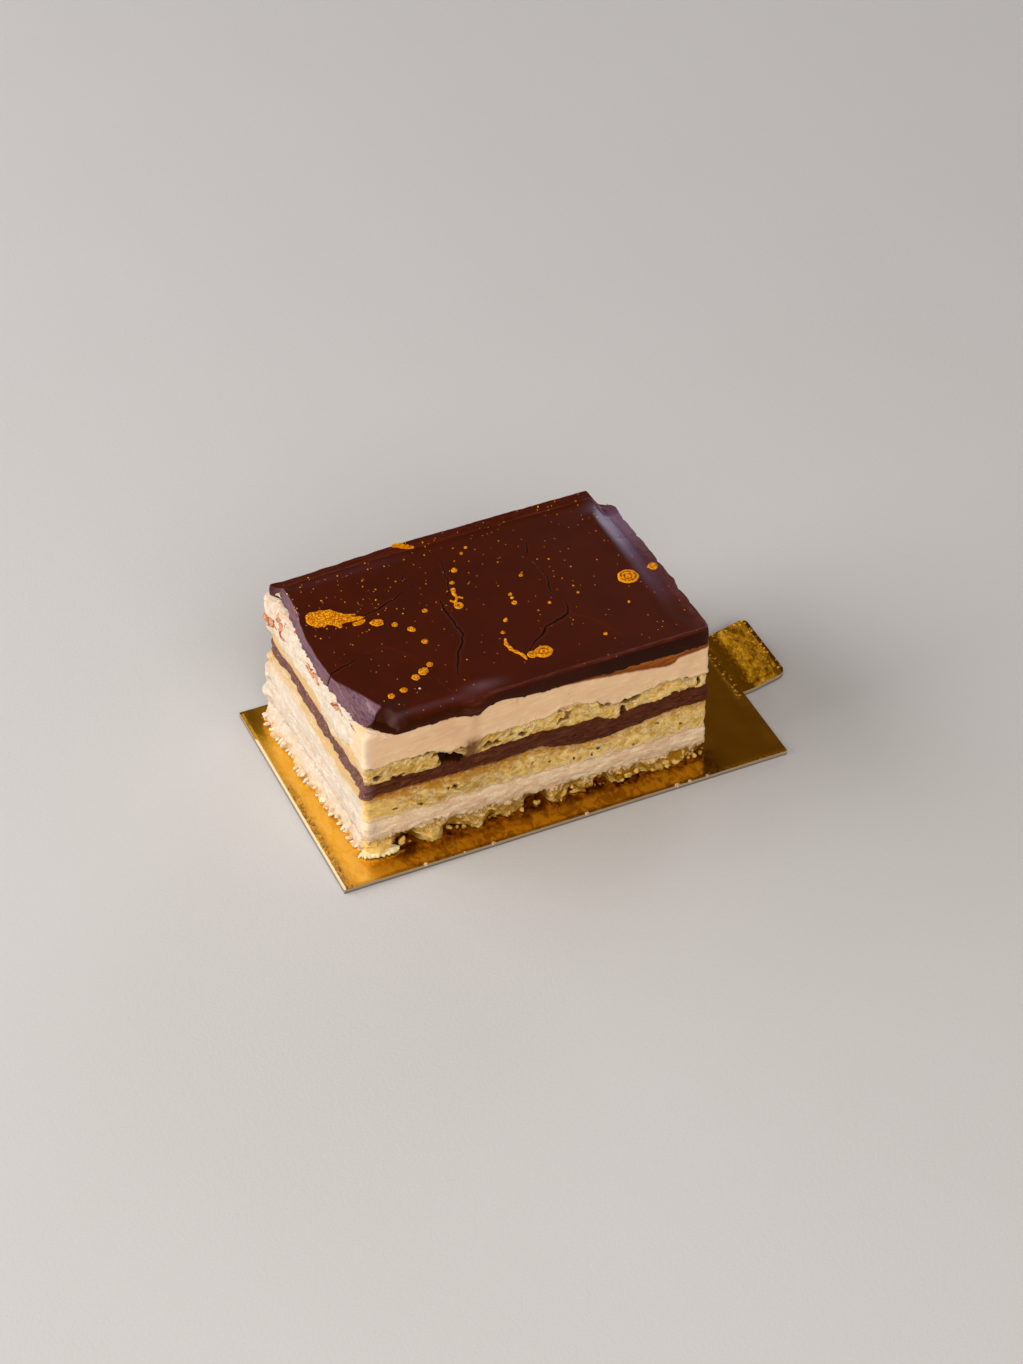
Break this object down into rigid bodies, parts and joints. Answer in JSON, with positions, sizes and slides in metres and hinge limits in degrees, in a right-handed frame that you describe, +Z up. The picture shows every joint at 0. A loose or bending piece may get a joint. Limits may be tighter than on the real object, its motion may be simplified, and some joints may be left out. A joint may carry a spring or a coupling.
{
  "type": "opera cake",
  "caption": "Rectangular slice of layered sponge, coffee buttercream and ganache under a dark chocolate glaze, standing on a gold card with a pull tab.",
  "frame": {"origin": "centre of the underside of the card's rectangle, its tab not counted", "axes": "+X along the slice's long side towards the card's tab, +Y away from the long cut front, +Z up"},
  "size_m": [0.1047, 0.0554, 0.0341],
  "materials": {
    "gold_card": "thin grey board faced with mirror-like gold foil, lightly crumpled",
    "sponge": "almond sponge: matt, porous, ivory to yellow crumb",
    "buttercream": "coffee buttercream: smooth, pale peach-tan, soft satin",
    "ganache": "chocolate ganache: milk-chocolate brown with knife marks and a low sheen",
    "glaze": "dark chocolate glaze: glossy red-brown, hairline cracks, spattered with edible gold"
  },
  "bodies": {
    "root": {"gold_card": "gold_card", "sponge_bottom": "sponge", "buttercream_bottom": "buttercream", "sponge_middle": "sponge", "ganache": "ganache", "sponge_top": "sponge", "buttercream_top": "buttercream", "glaze": "glaze"}
  },
  "joints": []
}
